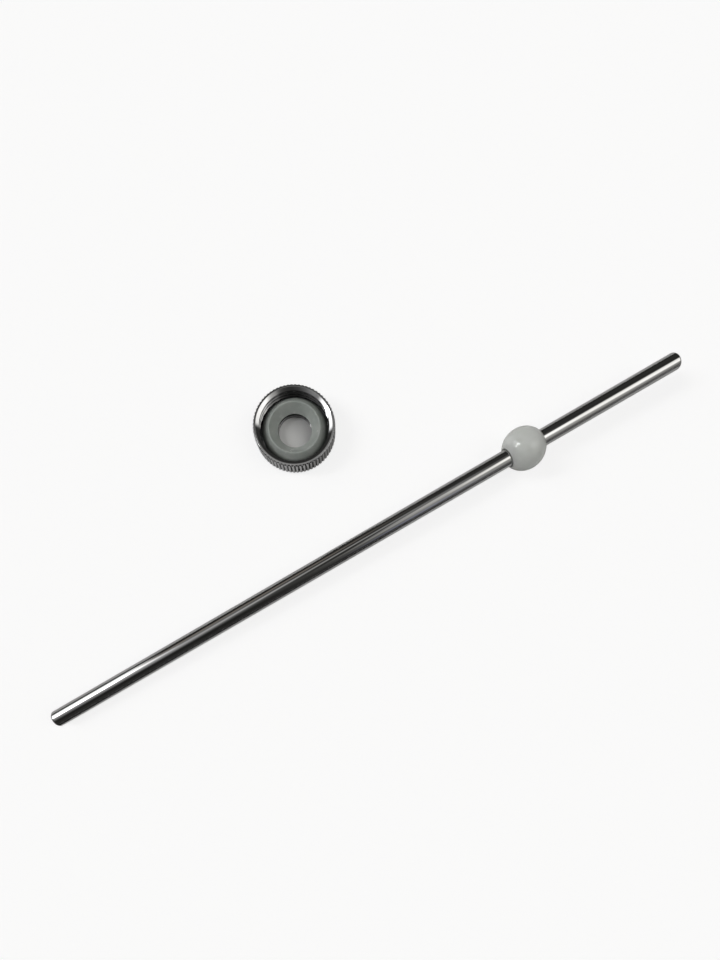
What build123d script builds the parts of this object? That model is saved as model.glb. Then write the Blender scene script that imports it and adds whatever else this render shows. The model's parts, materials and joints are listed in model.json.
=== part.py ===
from build123d import *
import os
from math import asin, atan2, cos, degrees, hypot, sin

# Pivot ball rod kit of a wash-basin pop-up drain, laid out on a table: a rod with a plastic ball
# pressed on it, and beside it the retaining nut, mouth up, with the ball's seat washer inside.
# Row frame: +X along the rod towards its short end, +Z up, origin at the bottom centre of the box.
# Millimetres.

# Rod
ROD_D = 5.0
ROD_LENGTH = 206.7
ROD_TIP_ROUND = 0.8
SHORT_REACH = 49.5  # from the ball's centre to the end that goes into the drain
LONG_REACH = ROD_LENGTH - SHORT_REACH  # from the ball's centre to the lever end

# Ball, pressed over a waist rolled into the rod
BALL_D = 12.2
WAIST_D = 4.6
WAIST_LENGTH = 10.5
COUNTERSINK_D = 5.8
COUNTERSINK_DEPTH = 0.6

# Retaining nut, M22 x 1.5 inside; the thread is modelled as its plain minor diameter
NUT_D = 23.8
NUT_HEIGHT = 6.2
NUT_FLOOR = 1.2
NUT_HOLE_D = 9.8
THREAD_PITCH = 1.5
THREAD_MAJOR_D = 22.0
THREAD_MINOR_D = THREAD_MAJOR_D - 1.0825 * THREAD_PITCH
MOUTH_BEVEL = 0.9  # across; it goes less deep
MOUTH_BEVEL_DEPTH = 0.5
RIM_BEVEL = 0.3
BASE_BEVEL = 0.8
KNURL_TEETH = 68
KNURL_DEPTH = 0.35
KNURL_HALF_WIDTH = 0.33  # of one groove at the nut's surface

# Seat washer, a flanged ring whose inner cone carries the ball
SEAT_D = 19.5
SEAT_HOLE_D = 10.0
SEAT_RIDGE_D = 15.2
SEAT_RIDGE_LAND = 0.3  # flat top of the ridge
SEAT_FLANGE_HEIGHT = 1.4
SEAT_RIDGE_HEIGHT = 3.6
SEAT_HOLE_HEIGHT = 1.2
SEAT_LIP = 0.35  # thickness at the hole
SEAT_RELIEF_D = 14.2  # recess under the cone
SEAT_RELIEF_HEIGHT = 2.0

# Where the nut stands: measured from the ball's centre, square to the rod and along it
NUT_ALONG = -53.8
NUT_ACROSS = 38.7

ROD_R = ROD_D / 2
BALL_R = BALL_D / 2
NUT_R = NUT_D / 2

# The rod rests on its ball and on the rounded rim of its long end, so it leans a little.
LEAN_REACH = LONG_REACH - ROD_TIP_ROUND
LEAN_DROP = ROD_R - ROD_TIP_ROUND
LEAN = asin((BALL_R - ROD_TIP_ROUND) / hypot(LEAN_REACH, LEAN_DROP)) - atan2(LEAN_DROP, LEAN_REACH)

BALL_X = (LONG_REACH - SHORT_REACH) / 2 * cos(LEAN)
BALL_Y = -(NUT_ACROSS + NUT_R - BALL_R) / 2
ROD_AXIS = Plane(
    origin=(BALL_X, BALL_Y, BALL_R),
    x_dir=(0, 1, 0),
    z_dir=(cos(LEAN), 0, sin(LEAN)),
)
NUT_PLACE = Pos(BALL_X + NUT_ALONG, BALL_Y + NUT_ACROSS, 0)


def turned(points):
    """A solid of revolution about Z from (radius, height) points."""
    return revolve(Plane.XZ * make_face(Polyline(*points, close=True)), Axis.Z)


def pivot_rod():
    """Round rod with rounded ends, waisted where the ball sits. Local Z is the rod's axis."""
    rod = Pos(0, 0, (SHORT_REACH - LONG_REACH) / 2) * Cylinder(ROD_R, ROD_LENGTH)
    rod = fillet(rod.edges().filter_by(GeomType.CIRCLE), ROD_TIP_ROUND)
    return rod - (Cylinder(ROD_D, WAIST_LENGTH) - Cylinder(WAIST_D / 2, WAIST_LENGTH))


def pivot_ball():
    """Ball bored for the rod's waist, with a countersink at each mouth of the bore."""
    ball = Sphere(BALL_R) - Cylinder(WAIST_D / 2, BALL_D)
    mouth_height = (BALL_R**2 - (COUNTERSINK_D / 2) ** 2) ** 0.5
    foot_height = mouth_height - COUNTERSINK_DEPTH
    spread = (COUNTERSINK_D - WAIST_D) / 2 / COUNTERSINK_DEPTH
    height = BALL_R - foot_height
    countersink = Pos(0, 0, foot_height + height / 2) * Cone(
        WAIST_D / 2, WAIST_D / 2 + spread * height, height
    )
    return ball - countersink - Rot(180, 0, 0) * countersink


def knurl_groove():
    """One straight V groove of the knurl, over the nut's full height."""
    outside = NUT_R + 0.2
    half_width = KNURL_HALF_WIDTH * (0.2 + KNURL_DEPTH) / KNURL_DEPTH
    vee = make_face(
        Polyline((NUT_R - KNURL_DEPTH, 0), (outside, half_width), (outside, -half_width), close=True)
    )
    return extrude(vee, NUT_HEIGHT)


def retaining_nut():
    """Round cap nut, open upwards, with a knurled wall and a hole in its floor for the rod."""
    bore_r = THREAD_MINOR_D / 2
    mouth_r = bore_r + MOUTH_BEVEL
    nut = turned(
        [
            (NUT_HOLE_D / 2, 0),
            (NUT_R - BASE_BEVEL, 0),
            (NUT_R, BASE_BEVEL),
            (NUT_R, NUT_HEIGHT - RIM_BEVEL),
            (NUT_R - RIM_BEVEL, NUT_HEIGHT),
            (mouth_r, NUT_HEIGHT),
            (bore_r, NUT_HEIGHT - MOUTH_BEVEL_DEPTH),
            (bore_r, NUT_FLOOR),
            (NUT_HOLE_D / 2, NUT_FLOOR),
        ]
    )
    half_tooth = 180 / KNURL_TEETH
    groove = knurl_groove()
    return nut - [place * groove for place in PolarLocations(0, KNURL_TEETH, half_tooth)]


def seat_washer():
    """Ring with an outer flange, a raised ridge and an inner cone that is relieved underneath."""
    ridge_r = SEAT_RIDGE_D / 2
    ring = turned(
        [
            (SEAT_HOLE_D / 2, SEAT_HOLE_HEIGHT - SEAT_LIP),
            (SEAT_RELIEF_D / 2, SEAT_RELIEF_HEIGHT),
            (SEAT_RELIEF_D / 2, 0),
            (SEAT_D / 2, 0),
            (SEAT_D / 2, SEAT_FLANGE_HEIGHT),
            (ridge_r, SEAT_RIDGE_HEIGHT),
            (ridge_r - SEAT_RIDGE_LAND, SEAT_RIDGE_HEIGHT),
            (SEAT_HOLE_D / 2, SEAT_HOLE_HEIGHT),
        ]
    )
    return Pos(0, 0, NUT_FLOOR) * ring


PARTS = {
    "pivot_rod": ROD_AXIS * pivot_rod(),
    "pivot_ball": ROD_AXIS * pivot_ball(),
    "retaining_nut": NUT_PLACE * retaining_nut(),
    "seat_washer": NUT_PLACE * seat_washer(),
}

os.makedirs("parts", exist_ok=True)
for name, shape in PARTS.items():
    export_step(shape, f"parts/{name}.step")
print(f"rod leans {degrees(LEAN):.3f} degrees, ball at x {BALL_X:.3f}, y {BALL_Y:.3f}")
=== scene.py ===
import json
from math import asin, cos, pi, radians, sin, sqrt, tan

import bmesh
import bpy
from mathutils import Matrix, Vector


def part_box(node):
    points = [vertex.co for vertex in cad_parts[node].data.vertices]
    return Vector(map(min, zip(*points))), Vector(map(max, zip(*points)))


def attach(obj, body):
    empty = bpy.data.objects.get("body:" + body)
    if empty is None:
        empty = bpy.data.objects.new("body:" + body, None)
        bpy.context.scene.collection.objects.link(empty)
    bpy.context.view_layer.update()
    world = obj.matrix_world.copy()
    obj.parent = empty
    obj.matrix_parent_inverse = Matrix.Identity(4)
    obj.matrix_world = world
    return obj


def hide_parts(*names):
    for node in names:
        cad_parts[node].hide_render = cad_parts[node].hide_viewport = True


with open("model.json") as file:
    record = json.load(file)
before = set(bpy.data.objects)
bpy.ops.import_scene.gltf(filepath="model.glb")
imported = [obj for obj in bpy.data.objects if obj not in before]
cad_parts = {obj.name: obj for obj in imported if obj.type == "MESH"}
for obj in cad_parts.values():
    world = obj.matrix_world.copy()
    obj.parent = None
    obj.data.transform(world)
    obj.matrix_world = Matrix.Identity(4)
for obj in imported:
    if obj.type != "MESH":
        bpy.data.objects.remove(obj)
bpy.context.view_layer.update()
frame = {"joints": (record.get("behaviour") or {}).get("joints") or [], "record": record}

# Pivot ball rod kit of a basin drain, laid out on a pale table. Metres, in the CAD's frame.
MM = 0.001

# ---------------------------------------------------------------- sizes and places
# Places and main sizes are read from the frame, and the details are the CAD's.

mounts = {mount["name"]: mount for mount in frame["record"]["mounts"]}
swing = next(joint for joint in frame["joints"] if joint["name"] == "rod_swing")

BALL_CENTRE = Vector(swing["pos_m"])
ROD_DIRECTION = Vector(mounts["stopper_end"]["axis"]).normalized()
ROD_R = mounts["stopper_end"]["dims"]["r_mm"] * MM
TIP_ROUND = 0.8 * MM
WAIST_R = 2.3 * MM
WAIST_HALF = 5.25 * MM  # from the ball's centre to where the rod gets its full size again
MOUTH_R = 2.9 * MM
MOUTH_DEPTH = 0.6 * MM


def straight_end(mount):
    """How far from the ball's centre a bare stretch of the rod ends."""
    middle = (Vector(mount["pos_m"]) - BALL_CENTRE).length
    return middle + mount["dims"]["length_mm"] * MM / 2


SHORT_STRAIGHT = straight_end(mounts["stopper_end"])
LONG_STRAIGHT = straight_end(mounts["lever_end"])

nut_low, nut_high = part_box("retaining_nut")
seat_low, seat_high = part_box("seat_washer")

BALL_R = BALL_CENTRE.z  # the ball rests on the table
NUT_AXIS = Vector((mounts["nut_thread"]["pos_m"][0], mounts["nut_thread"]["pos_m"][1], 0))
NUT_R = (nut_high.y - nut_low.y) / 2
NUT_HEIGHT = nut_high.z - nut_low.z
NUT_FLOOR = seat_low.z
NUT_HOLE_R = 4.9 * MM
CREST_R = mounts["nut_thread"]["dims"]["r_mm"] * MM
PITCH = 1.5 * MM
THREAD_DEPTH = 0.5413 * PITCH
RUN_OUT_MOUTH = 0.9 * MM  # height over which the thread fades away at each end
RUN_OUT_FLOOR = 0.6 * MM
MOUTH_BEVEL = 0.9 * MM
MOUTH_BEVEL_DEPTH = 0.5 * MM
RIM_BEVEL = 0.3 * MM
BASE_BEVEL = 0.8 * MM
KNURL_TEETH = 68
KNURL_DEPTH = 0.35 * MM
KNURL_LAND = 0.4  # share of a tooth's pitch that stays flat

SEAT_R = (seat_high.y - seat_low.y) / 2
SEAT_HEIGHT = seat_high.z - seat_low.z
SEAT_HOLE_R = 5.0 * MM
SEAT_RIDGE_R = 7.6 * MM
SEAT_RIDGE_LAND = 0.3 * MM
SEAT_RELIEF_R = 7.1 * MM
SEAT_RELIEF_HEIGHT = 2.0 * MM
SEAT_FLANGE_HEIGHT = 1.4 * MM
SEAT_HOLE_TOP = 1.2 * MM  # the lip at the hole lies between these two heights
SEAT_HOLE_FOOT = 0.85 * MM

TABLE_SIZE = 8  # metres across
WALL_R = 3.9
TABLE_GLOW = 0.8
WALL_GLOW = 0.95

NOISE_LOW, NOISE_HIGH = 0.3, 0.7  # noise mostly lies between these two


# ---------------------------------------------------------------- mesh tools


def rounded(corners, closed, steps=6):
    """(radius, height) points of an outline of (radius, height, fillet) corners, with its arcs."""
    points = []
    last = len(corners) - 1
    for i, (r, z, fillet) in enumerate(corners):
        here = Vector((r, z))
        if fillet == 0 or (not closed and i in (0, last)):
            points.append(here)
            continue
        before = (Vector(corners[i - 1][:2]) - here).normalized()
        after = (Vector(corners[(i + 1) % len(corners)][:2]) - here).normalized()
        half = before.angle(after) / 2
        centre = here + (before + after).normalized() * (fillet / sin(half))
        start = here + before * (fillet / tan(half)) - centre
        end = here + after * (fillet / tan(half)) - centre
        points += [centre + start.slerp(end, k / steps) * fillet for k in range(steps + 1)]
    return points


def skinned(name, rows, closed, crease=35):
    """A mesh through rings of points. Closed joins the last ring to the first."""
    mesh = bmesh.new()
    rings = [[mesh.verts.new(point) for point in row] for row in rows]
    pairs = list(zip(rings, rings[1:]))
    if closed:
        pairs.append((rings[-1], rings[0]))
    for one, two in pairs:
        count = max(len(one), len(two))
        for i in range(count):
            j = (i + 1) % count
            corners = [one[i % len(one)], one[j % len(one)], two[j % len(two)], two[i % len(two)]]
            mesh.faces.new(list(dict.fromkeys(corners)))  # a triangle where a ring is one point
    bmesh.ops.recalc_face_normals(mesh, faces=mesh.faces)
    data = bpy.data.meshes.new(name)
    mesh.to_mesh(data)
    mesh.free()
    data.shade_smooth()
    data.set_sharp_from_angle(angle=radians(crease))
    piece = bpy.data.objects.new(name, data)
    bpy.context.scene.collection.objects.link(piece)
    return piece


def ring(r, z, segments):
    """The points of one level circle about Z, or a single point on the axis."""
    if r == 0:
        return [Vector((0, 0, z))]
    turns = [2 * pi * k / segments for k in range(segments)]
    return [Vector((r * cos(a), r * sin(a), z)) for a in turns]


def turned(name, outline, closed, segments):
    """A solid of revolution about Z."""
    return skinned(name, [ring(r, z, segments) for r, z in outline], closed)


def between(low, high, count):
    """count + 1 evenly spaced values from low to high."""
    return [low + (high - low) * k / count for k in range(count + 1)]


def smooth_step(x):
    """0 below 0, 1 above 1, and smooth between."""
    x = min(max(x, 0), 1)
    return x * x * (3 - 2 * x)


# ---------------------------------------------------------------- pieces


def pivot_rod():
    """The bar: rounded tips, straight stretches, and the waist inside the ball."""
    long_tip = -LONG_STRAIGHT - TIP_ROUND
    short_tip = SHORT_STRAIGHT + TIP_ROUND
    outline = rounded(
        [
            (0, long_tip, 0),
            (ROD_R, long_tip, TIP_ROUND),
            (ROD_R, -WAIST_HALF, 0),
            (WAIST_R, -WAIST_HALF, 0),
            (WAIST_R, WAIST_HALF, 0),
            (ROD_R, WAIST_HALF, 0),
            (ROD_R, short_tip, TIP_ROUND),
            (0, short_tip, 0),
        ],
        closed=False,
        steps=10,
    )
    return turned("pivot_rod_bar", outline, closed=False, segments=128)


def pivot_ball():
    """The moulded ball: a sphere bored for the waist and countersunk at both mouths."""
    mouth_z = sqrt(BALL_R**2 - MOUTH_R**2)
    foot_z = mouth_z - MOUTH_DEPTH
    edge = asin(mouth_z / BALL_R)
    sphere = [(BALL_R * cos(a), BALL_R * sin(a)) for a in between(edge, -edge, 90)]
    bore = [(WAIST_R, -foot_z), (WAIST_R, foot_z)]
    return turned("pivot_ball_moulding", sphere + bore, closed=True, segments=128)


def knurl_radius(phase):
    """The nut's outer radius within one tooth: its land is at phase 0 and its groove at 0.5."""
    from_groove = abs(phase - 0.5) / (0.5 * (1 - KNURL_LAND))
    return NUT_R - KNURL_DEPTH * max(0, 1 - from_groove)


def thread_radius(angle, z):
    """The nut's inner radius: a right-hand M thread that runs out at the mouth and at the floor."""
    phase = (z / PITCH - angle / (2 * pi)) % 1
    crest, flank = 0.25, 0.3125  # shares of the pitch
    past_crest = min(phase, 1 - phase) - crest / 2
    depth = THREAD_DEPTH * min(max(past_crest / flank, 0), 1)
    at_mouth = smooth_step((NUT_HEIGHT - z) / RUN_OUT_MOUTH)
    at_floor = smooth_step((z - NUT_FLOOR) / RUN_OUT_FLOOR)
    return CREST_R + depth * at_mouth * at_floor


def nut_outside(phase):
    """Half-section of the nut: from inside its floor, under it, up the wall, to the mouth bevel."""
    mouth_r = CREST_R + MOUTH_BEVEL
    outline = rounded(
        [
            (CREST_R, NUT_FLOOR, 0),
            (NUT_HOLE_R, NUT_FLOOR, 0.15 * MM),
            (NUT_HOLE_R, 0, 0.15 * MM),
            (NUT_R - BASE_BEVEL, 0, 0.15 * MM),
            (NUT_R, BASE_BEVEL, 0.2 * MM),
            (NUT_R, NUT_HEIGHT - RIM_BEVEL, 0.2 * MM),
            (NUT_R - RIM_BEVEL, NUT_HEIGHT, 0.12 * MM),
            (mouth_r, NUT_HEIGHT, 0.12 * MM),
            (CREST_R, NUT_HEIGHT - MOUTH_BEVEL_DEPTH, 0),
        ],
        closed=False,
        steps=4,
    )
    limit = max(knurl_radius(phase), mouth_r)
    return [(min(r, limit), z) for r, z in outline]


def retaining_nut():
    """The cap nut: knurled wall, bevelled rim, helical thread, floor with the rod's hole."""
    half_land = KNURL_LAND / 2
    phases = [0, 0.12, half_land, 0.34, 0.5, 0.66, 1 - half_land, 0.88]
    outsides = [nut_outside(phase) for phase in phases]
    teeth = range(KNURL_TEETH)
    angles = [2 * pi * (tooth + phase) / KNURL_TEETH for tooth in teeth for phase in phases]
    rows = []
    for i in range(len(outsides[0])):
        points = [outside[i] for outside in outsides] * KNURL_TEETH
        rows.append([Vector((r * cos(a), r * sin(a), z)) for a, (r, z) in zip(angles, points)])
    heights = between(NUT_HEIGHT - MOUTH_BEVEL_DEPTH, NUT_FLOOR, 78)
    for z in heights[1:-1]:
        radii = [thread_radius(a, z) for a in angles]
        rows.append([Vector((r * cos(a), r * sin(a), z)) for a, r in zip(angles, radii)])
    return skinned("nut_shell", rows, closed=True, crease=28)


def seat_washer():
    """The seat: flange, rounded ridge, inner cone to a thin lip, relieved underneath."""
    low = NUT_FLOOR
    outline = rounded(
        [
            (SEAT_HOLE_R, low + SEAT_HOLE_FOOT, 0.08 * MM),
            (SEAT_RELIEF_R, low + SEAT_RELIEF_HEIGHT, 0.2 * MM),
            (SEAT_RELIEF_R, low, 0.1 * MM),
            (SEAT_R, low, 0.2 * MM),
            (SEAT_R, low + SEAT_FLANGE_HEIGHT, 0.25 * MM),
            (SEAT_RIDGE_R, low + SEAT_HEIGHT, 0.14 * MM),
            (SEAT_RIDGE_R - SEAT_RIDGE_LAND, low + SEAT_HEIGHT, 0.14 * MM),
            (SEAT_HOLE_R, low + SEAT_HOLE_TOP, 0.12 * MM),
        ],
        closed=True,
    )
    return turned("seat_ring", outline, closed=True, segments=160)


# ---------------------------------------------------------------- materials


def new_material(name):
    """A material, its node tree and its shader."""
    material = bpy.data.materials.new(name)
    material.use_nodes = True
    return material, material.node_tree, material.node_tree.nodes["Principled BSDF"]


def noise(tree, sizes, detail=3.0, roughness=0.5):
    """Noise whose features are about sizes metres along the piece's own X, Y and Z."""
    place = tree.nodes.new("ShaderNodeTexCoord")
    scale = tree.nodes.new("ShaderNodeMapping")
    texture = tree.nodes.new("ShaderNodeTexNoise")
    scale.inputs["Scale"].default_value = [1 / size for size in sizes]
    texture.inputs["Scale"].default_value = 1.0
    texture.inputs["Detail"].default_value = detail
    texture.inputs["Roughness"].default_value = roughness
    tree.links.new(place.outputs["Object"], scale.inputs["Vector"])
    tree.links.new(scale.outputs["Vector"], texture.inputs["Vector"])
    return texture.outputs["Fac"]


def graded(tree, value, low, high, start=NOISE_LOW, end=NOISE_HIGH):
    """The colour low where value is start or less, high where it is end or more, and between."""
    ramp = tree.nodes.new("ShaderNodeValToRGB")
    for element, position, colour in zip(ramp.color_ramp.elements, (start, end), (low, high)):
        element.position = position
        element.color = (*colour, 1)
    tree.links.new(value, ramp.inputs["Fac"])
    return ramp.outputs["Color"]


def ranged(tree, value, low, high):
    """Noise mapped to low to high."""
    remap = tree.nodes.new("ShaderNodeMapRange")
    remap.inputs["From Min"].default_value = NOISE_LOW
    remap.inputs["From Max"].default_value = NOISE_HIGH
    remap.inputs["To Min"].default_value = low
    remap.inputs["To Max"].default_value = high
    tree.links.new(value, remap.inputs["Value"])
    return remap.outputs["Result"]


def maths(tree, operation, *values):
    """A maths node of values that are each a socket or a number."""
    node = tree.nodes.new("ShaderNodeMath")
    node.operation = operation
    for value, socket in zip(values, node.inputs):
        if isinstance(value, (int, float)):
            socket.default_value = value
        else:
            tree.links.new(value, socket)
    return node.outputs["Value"]


def faded(tree, value, start, end):
    """0 to 1 as value goes smoothly from start to end."""
    node = tree.nodes.new("ShaderNodeMapRange")
    node.interpolation_type = "SMOOTHSTEP"
    node.inputs["From Min"].default_value = start
    node.inputs["From Max"].default_value = end
    tree.links.new(value, node.inputs["Value"])
    return node.outputs["Result"]


def own_axes(tree):
    """The places along the piece's own X, Y and Z, in metres."""
    place = tree.nodes.new("ShaderNodeTexCoord")
    parts = tree.nodes.new("ShaderNodeSeparateXYZ")
    tree.links.new(place.outputs["Object"], parts.inputs["Vector"])
    return parts.outputs


def from_turning_axis(tree):
    """The distance from a turned piece's own Z axis."""
    axes = own_axes(tree)
    squares = [maths(tree, "MULTIPLY", axes[name], axes[name]) for name in "XY"]
    return maths(tree, "SQRT", maths(tree, "ADD", *squares))


def scaled(tree, colour, factor):
    """A colour times a factor from 0 to 1."""
    node = tree.nodes.new("ShaderNodeVectorMath")
    node.operation = "SCALE"
    tree.links.new(colour, node.inputs[0])
    tree.links.new(factor, node.inputs["Scale"])
    return node.outputs["Vector"]


def dimmed(tree, colour, where, loss):
    """A colour that loses a share of its light where where is 1."""
    return scaled(tree, colour, maths(tree, "MULTIPLY_ADD", where, -loss, 1.0))


def bumped(tree, shader, height, distance):
    """Bump of height from 0 to 1, distance metres deep."""
    bump = tree.nodes.new("ShaderNodeBump")
    bump.inputs["Strength"].default_value = 1.0
    bump.inputs["Distance"].default_value = distance
    tree.links.new(height, bump.inputs["Height"])
    tree.links.new(bump.outputs["Normal"], shader.inputs["Normal"])


def polished_steel():
    """Ground and polished bar: fine lengthwise lines and slow changes of gloss and tone."""
    material, tree, shader = new_material("polished_steel")
    shader.inputs["Metallic"].default_value = 1.0
    tone = noise(tree, (2.5 * MM, 2.5 * MM, 18 * MM), detail=4)
    lines = noise(tree, (0.22 * MM, 0.22 * MM, 30 * MM), detail=4, roughness=0.6)
    haze = noise(tree, (1.2 * MM, 1.2 * MM, 9 * MM), detail=2)
    colour = graded(tree, tone, (0.50, 0.495, 0.49), (0.56, 0.56, 0.565))
    tree.links.new(colour, shader.inputs["Base Color"])
    tree.links.new(ranged(tree, haze, 0.04, 0.1), shader.inputs["Roughness"])
    bumped(tree, shader, lines, 0.0022 * MM)
    return material


def chrome_plate():
    """Bright plate, faintly clouded, with painted shade in the knurl's grooves and in the thread.
    """
    material, tree, shader = new_material("chrome_plate")
    shader.inputs["Metallic"].default_value = 1.0
    cloud = noise(tree, (1.5 * MM, 1.5 * MM, 1.5 * MM), detail=4)
    marks = noise(tree, (0.25 * MM, 0.25 * MM, 0.25 * MM), detail=3)
    colour = graded(tree, cloud, (0.52, 0.52, 0.53), (0.60, 0.60, 0.605))
    from_axis = from_turning_axis(tree)
    height = own_axes(tree)["Z"]
    # Painted shade: the knurl's grooves on the outer wall, below the rim, are darkened.
    groove_shade = faded(tree, from_axis, NUT_R - 0.03 * MM, NUT_R - 0.18 * MM)
    on_wall = faded(tree, from_axis, NUT_R - 0.6 * MM, NUT_R - 0.5 * MM)
    below_rim = faded(tree, height, NUT_HEIGHT - 0.28 * MM, NUT_HEIGHT - 0.36 * MM)
    for part in (on_wall, below_rim):
        groove_shade = maths(tree, "MULTIPLY", groove_shade, part)
    # Painted shade: the thread inside the nut, below the mouth bevel, is darkened.
    inside = faded(tree, from_axis, NUT_R - 0.6 * MM, NUT_R - 0.8 * MM)
    below_bevel = faded(tree, height, NUT_HEIGHT - 0.45 * MM, NUT_HEIGHT - 0.8 * MM)
    thread_shade = maths(tree, "MULTIPLY", inside, below_bevel)
    colour = dimmed(tree, colour, thread_shade, 0.55)
    # Painted shade darkens the knurl's grooves.
    colour = dimmed(tree, colour, groove_shade, 0.85)
    tree.links.new(colour, shader.inputs["Base Color"])
    tree.links.new(ranged(tree, cloud, 0.05, 0.12), shader.inputs["Roughness"])
    bumped(tree, shader, marks, 0.0012 * MM)
    return material


def milky_plastic():
    """The ball's glossy white plastic, which light goes a little way into, with painted shade in
    the mouths.
    """
    material, tree, shader = new_material("milky_plastic")
    cloud = noise(tree, (4 * MM, 4 * MM, 4 * MM), detail=3)
    grain = noise(tree, (0.5 * MM, 0.5 * MM, 0.5 * MM), detail=2)
    colour = graded(tree, cloud, (0.78, 0.81, 0.77), (0.86, 0.89, 0.855))
    from_axis = from_turning_axis(tree)
    # Painted shade in the countersunk mouths, where the rod enters the ball.
    mouth_shade = faded(tree, from_axis, MOUTH_R + 0.12 * MM, MOUTH_R - 0.05 * MM)
    colour = dimmed(tree, colour, mouth_shade, 0.6)
    tree.links.new(colour, shader.inputs["Base Color"])
    tree.links.new(ranged(tree, cloud, 0.06, 0.1), shader.inputs["Roughness"])
    shader.inputs["Subsurface Weight"].default_value = 1.0
    shader.inputs["Subsurface Radius"].default_value = (1.0, 1.0, 1.0)
    shader.inputs["Subsurface Scale"].default_value = 5.0 * MM
    shader.inputs["IOR"].default_value = 1.5
    bumped(tree, shader, grain, 0.001 * MM)
    return material


def translucent_plastic():
    """The seat's grey-green plastic, with painted shade next to the nut's wall."""
    material, tree, shader = new_material("translucent_plastic")
    cloud = noise(tree, (3 * MM, 3 * MM, 3 * MM), detail=3)
    grain = noise(tree, (0.4 * MM, 0.4 * MM, 0.4 * MM), detail=2)
    colour = graded(tree, cloud, (0.42, 0.455, 0.43), (0.50, 0.53, 0.505))
    from_axis = from_turning_axis(tree)
    # Painted shade: the flange darkens towards the nut's wall.
    wall_shade = faded(tree, from_axis, SEAT_R - 1.1 * MM, SEAT_R - 0.2 * MM)
    colour = dimmed(tree, colour, wall_shade, 0.7)
    tree.links.new(colour, shader.inputs["Base Color"])
    tree.links.new(ranged(tree, cloud, 0.18, 0.28), shader.inputs["Roughness"])
    shader.inputs["Subsurface Weight"].default_value = 0.5
    shader.inputs["Subsurface Radius"].default_value = (1.0, 1.0, 1.0)
    shader.inputs["Subsurface Scale"].default_value = 1.5 * MM
    shader.inputs["IOR"].default_value = 1.5
    bumped(tree, shader, grain, 0.004 * MM)
    return material



def settle(piece, place, body, node, material):
    """Puts a piece in place, attaches it to the body it moves with, and hides the CAD part it
    stands for.
    """
    piece.matrix_world = place
    piece.data.materials.append(material)
    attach(piece, body)
    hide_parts(node)


lean = ROD_DIRECTION.to_track_quat("Z", "Y").to_matrix().to_4x4()
along_rod = Matrix.Translation(BALL_CENTRE) @ lean
at_nut = Matrix.Translation(NUT_AXIS)
settle(pivot_rod(), along_rod, "rod", "pivot_rod", polished_steel())
settle(pivot_ball(), along_rod, "rod", "pivot_ball", milky_plastic())
settle(retaining_nut(), at_nut, "nut", "retaining_nut", chrome_plate())
settle(seat_washer(), at_nut, "seat", "seat_washer", translucent_plastic())


# ---------------------------------------------------------------- table, lights and camera


def matt_material(name):
    """A material without gloss, its node tree and its shader."""
    material, tree, shader = new_material(name)
    shader.inputs["Roughness"].default_value = 1.0
    shader.inputs["Specular IOR Level"].default_value = 0.0
    return material, tree, shader


def plate(name, width, height, place, material):
    """A staged rectangle, facing along its own +Z."""
    mesh = bmesh.new()
    corners = [(-1, -1), (1, -1), (1, 1), (-1, 1)]
    mesh.faces.new([mesh.verts.new((x * width / 2, y * height / 2, 0)) for x, y in corners])
    data = bpy.data.meshes.new(name)
    mesh.to_mesh(data)
    mesh.free()
    data.materials.append(material)
    piece = bpy.data.objects.new(name, data)
    bpy.context.scene.collection.objects.link(piece)
    piece.matrix_world = place
    return piece


def table():
    """A pale table."""
    seen, _, shader = matt_material("table_top")
    shader.inputs["Base Color"].default_value = (0.3, 0.3, 0.3, 1)
    shader.inputs["Emission Color"].default_value = (1, 1, 1, 1)
    shader.inputs["Emission Strength"].default_value = TABLE_GLOW
    place = Matrix.Translation((0, 0, -0.02 * MM))
    top = plate("table_top", TABLE_SIZE, TABLE_SIZE, place, seen)
    top.visible_glossy = False
    top.visible_diffuse = False
    top.visible_transmission = False
    top.visible_shadow = False
    mirrored, _, shader = matt_material("table_mirrored")
    shader.inputs["Base Color"].default_value = (0.88, 0.88, 0.88, 1)
    place = Matrix.Translation((0, 0, -0.04 * MM))
    below = plate("table_mirrored", TABLE_SIZE, TABLE_SIZE, place, mirrored)
    below.visible_camera = False
    below.visible_shadow = False


def shade_card():
    """A dark sheet standing for a shadow on the table on the near side of the rod, seen only in
    reflections, paler to the right.
    """
    material, tree, shader = matt_material("shade_card")
    across = faded(tree, own_axes(tree)["X"], 40 * MM, 85 * MM)
    # Painted shadow, darkest on the left and paler to the right.
    dark, pale = (0.06, 0.06, 0.06), (0.26, 0.26, 0.26)
    colour = graded(tree, across, dark, pale, start=0, end=1)
    tree.links.new(colour, shader.inputs["Base Color"])
    centre = Vector((BALL_CENTRE.x - 50 * MM, BALL_CENTRE.y - 142 * MM, -0.03 * MM))
    place = Matrix.Translation(centre) @ Matrix.Rotation(radians(-5), 4, "Z")
    card = plate("shade_card", 500 * MM, 250 * MM, place, material)
    card.visible_camera = False
    card.visible_diffuse = False
    card.visible_shadow = False


def nut_mat():
    """The grey of the bare table, as it shows through the nut's hole, with painted light: lighter
    and faintly glowing towards its own -X. The nut hides its edge.
    """
    material, tree, shader = new_material("nut_mat")
    # Painted light: the mat is lighter and faintly glows towards its own -X.
    painted_light = faded(tree, own_axes(tree)["X"], 4 * MM, -4 * MM)
    colour = graded(tree, painted_light, (0.5, 0.5, 0.5), (0.8, 0.8, 0.795), start=0, end=1)
    tree.links.new(colour, shader.inputs["Base Color"])
    shader.inputs["Emission Color"].default_value = (1, 1, 1, 1)
    tree.links.new(maths(tree, "MULTIPLY", painted_light, 0.04), shader.inputs["Emission Strength"])
    shader.inputs["Roughness"].default_value = 0.8
    mat = skinned("nut_mat", [ring(0, 0, 64), ring(7 * MM, 0, 64)], closed=False)
    mat.matrix_world = Matrix.Translation(NUT_AXIS - Vector((0, 0, 0.01 * MM)))
    mat.data.materials.append(material)


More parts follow.
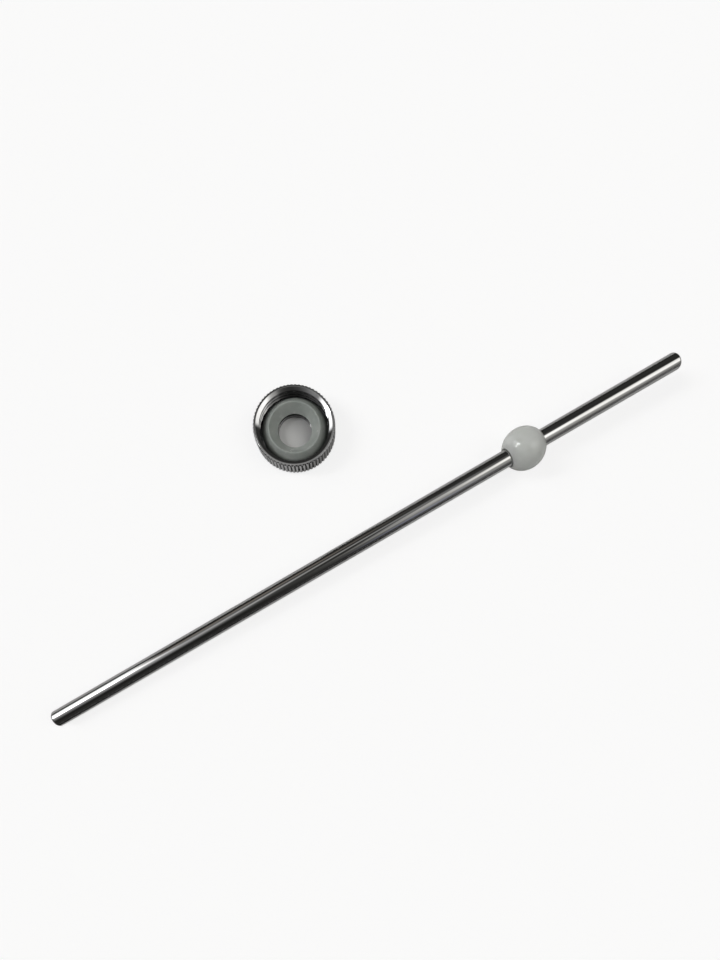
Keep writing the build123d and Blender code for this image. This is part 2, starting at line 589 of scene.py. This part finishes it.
def backdrop():
    """A pale wall all round, far off, that only the camera sees."""
    material = bpy.data.materials.new("backdrop")
    material.use_nodes = True
    tree = material.node_tree
    tree.nodes.clear()
    emission = tree.nodes.new("ShaderNodeEmission")
    emission.inputs["Color"].default_value = (1, 1, 1, 1)
    emission.inputs["Strength"].default_value = WALL_GLOW
    output = tree.nodes.new("ShaderNodeOutputMaterial")
    tree.links.new(emission.outputs["Emission"], output.inputs["Surface"])
    foot, top = -0.1, 5  # metres
    wall = skinned("backdrop", [ring(WALL_R, foot, 64), ring(WALL_R, top, 64)], closed=False)
    wall.data.materials.append(material)
    wall.visible_glossy = False
    wall.visible_diffuse = False
    wall.visible_transmission = False
    wall.visible_shadow = False


def seen_along(tree, place, axis):
    """How far the direction of sight goes along an axis."""
    dot = tree.nodes.new("ShaderNodeVectorMath")
    dot.operation = "DOT_PRODUCT"
    dot.inputs[1].default_value = axis
    tree.links.new(place.outputs["Generated"], dot.inputs[0])
    return dot.outputs["Value"]


def softbox(tree, place, bearing, elevation, width, height, turn, soft, radiance):
    """A soft rectangle in the far distance. Angles are in degrees; soft is its faded share."""
    a, e, t = radians(bearing), radians(elevation), radians(turn)
    towards = Vector((cos(e) * cos(a), cos(e) * sin(a), sin(e)))
    level = Vector((-sin(a), cos(a), 0))
    upward = towards.cross(level)
    across = level * cos(t) + upward * sin(t)
    along = upward * cos(t) - level * sin(t)
    shape = faded(tree, seen_along(tree, place, towards), 0.0, 0.2)
    for axis, size in ((across, width), (along, height)):
        away = maths(tree, "ABSOLUTE", seen_along(tree, place, axis / sin(radians(size / 2))))
        shape = maths(tree, "MULTIPLY", shape, faded(tree, away, 1.0, 1.0 - soft))
    return maths(tree, "MULTIPLY", shape, radiance)


def room():
    """A dim room with a bright window on the left, a soft light on the right, weaker glows about
    them, and a darker patch on the near side."""
    world = bpy.data.worlds.new("room")
    bpy.context.scene.world = world
    world.use_nodes = True
    tree = world.node_tree
    background = tree.nodes["Background"]
    place = tree.nodes.new("ShaderNodeTexCoord")
    neutral = (1, 1, 1)
    cream = (1.02, 1.01, 0.97)
    cool = (0.75, 0.82, 1.3)
    warm = (1.15, 1.0, 0.86)
    dim = (0.04, 0.04, 0.038)
    # colour, then bearing, elevation, width, height, turn, soft and radiance
    lights = [
        (neutral, (145, 39, 10, 30, 24, 0.3, 10.0)),
        (neutral, (138, 37, 28, 52, -30, 0.4, 1.9)),
        (neutral, (160, 62, 80, 60, 0, 1.0, 0.5)),
        (cream, (-22, 47, 36, 48, 15, 0.4, 1.35)),
        (cream, (-48, 40, 80, 96, 0, 1.0, 0.55)),
        (cream, (-30, 70, 24, 30, 0, 0.8, 0.7)),
        (cream, (-66, 62, 24, 32, 0, 0.8, 0.3)),
        (cool, (-76, 30, 24, 34, 0, 1.0, 0.16)),
        (neutral, (44, 70, 30, 34, 0, 1.0, 0.25)),
        (warm, (104, 40, 56, 20, 0, 0.8, 0.26)),
        (cream, (106, 74, 44, 22, 0, 0.8, 0.34)),
    ]
    total = None
    for colour, light in lights:
        tint = tree.nodes.new("ShaderNodeVectorMath")
        tint.operation = "MULTIPLY_ADD"
        tint.inputs[1].default_value = colour
        tint.inputs[2].default_value = dim
        tree.links.new(softbox(tree, place, *light), tint.inputs[0])
        if total is not None:
            tree.links.new(total, tint.inputs[2])
        total = tint.outputs["Vector"]
    unseen = softbox(tree, place, -122, 50, 80, 50, 0, 0.7, 0.45)
    total = scaled(tree, total, maths(tree, "SUBTRACT", 1.0, unseen))
    tree.links.new(total, background.inputs["Color"])
    background.inputs["Strength"].default_value = 1.0


def camera():
    data = bpy.data.cameras.new("camera")
    data.lens = 18.94
    data.shift_x = 0.0221
    data.shift_y = 0.1704
    data.clip_start = 1 * MM
    eye = bpy.data.objects.new("camera", data)
    eye.location = Vector((BALL_CENTRE.x - 73.9 * MM, BALL_CENTRE.y - 22.1 * MM, 151.1 * MM))
    eye.rotation_euler = (0, 0, radians(-29.9))
    bpy.context.scene.collection.objects.link(eye)
    bpy.context.scene.camera = eye


table()
shade_card()
nut_mat()
backdrop()
room()
camera()

scene = bpy.context.scene
scene.view_settings.view_transform = "Standard"
scene.cycles.use_denoising = True
